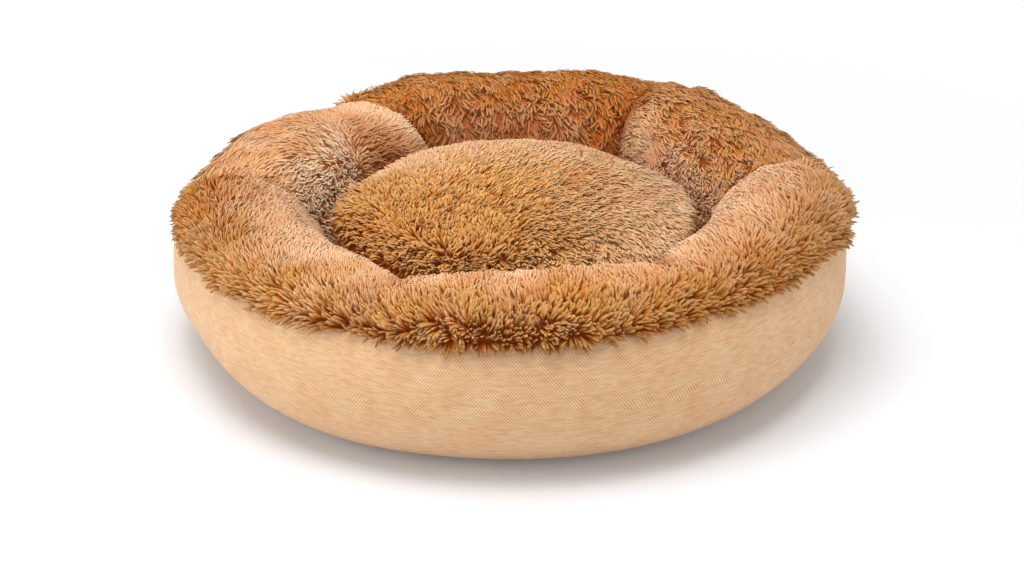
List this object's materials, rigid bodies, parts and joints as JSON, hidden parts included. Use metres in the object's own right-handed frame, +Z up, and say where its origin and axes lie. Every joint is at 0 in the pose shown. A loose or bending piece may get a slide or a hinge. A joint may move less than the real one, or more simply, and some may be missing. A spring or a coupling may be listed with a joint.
{
  "type": "donut pet bed",
  "caption": "Round pet bed: a stuffed plush ring with a woven side wall round a loose plush cushion that lifts out.",
  "frame": {"origin": "middle of the flat underside, where the bed rests on the floor", "axes": "+Z is up, out of the well, and the bed is seen from -Y with +X to the right"},
  "size_m": [0.5039, 0.5043, 0.1409],
  "materials": {
    "non_slip_cloth": "pale woven cloth with small clear rubber dots",
    "woven_cloth": "sand-coloured woven cloth, matte, with a fine diagonal texture",
    "long_plush": "caramel-brown long-pile plush in pointed locks",
    "cushion_plush": "golden-brown plush with a shorter pile",
    "lining_cloth": "plain sand-coloured cloth, matte",
    "fibre_filling": "white loose polyester fibre"
  },
  "bodies": {
    "bed": {"base_panel": "non_slip_cloth", "side_wall": "woven_cloth", "plush_panel_1": "long_plush", "plush_panel_2": "long_plush", "plush_panel_3": "long_plush", "plush_panel_4": "long_plush", "plush_panel_5": "long_plush", "plush_panel_6": "long_plush", "ring_filling": "fibre_filling", "well_floor": "lining_cloth"},
    "cushion": {"cushion_top": "cushion_plush", "cushion_underside": "lining_cloth", "cushion_filling": "fibre_filling"}
  },
  "joints": [
    {"name": "cushion_lift", "type": "slide", "parent": "bed", "child": "cushion", "axis": [0, 0, 1], "range_m": [0, 0.2]}
  ]
}
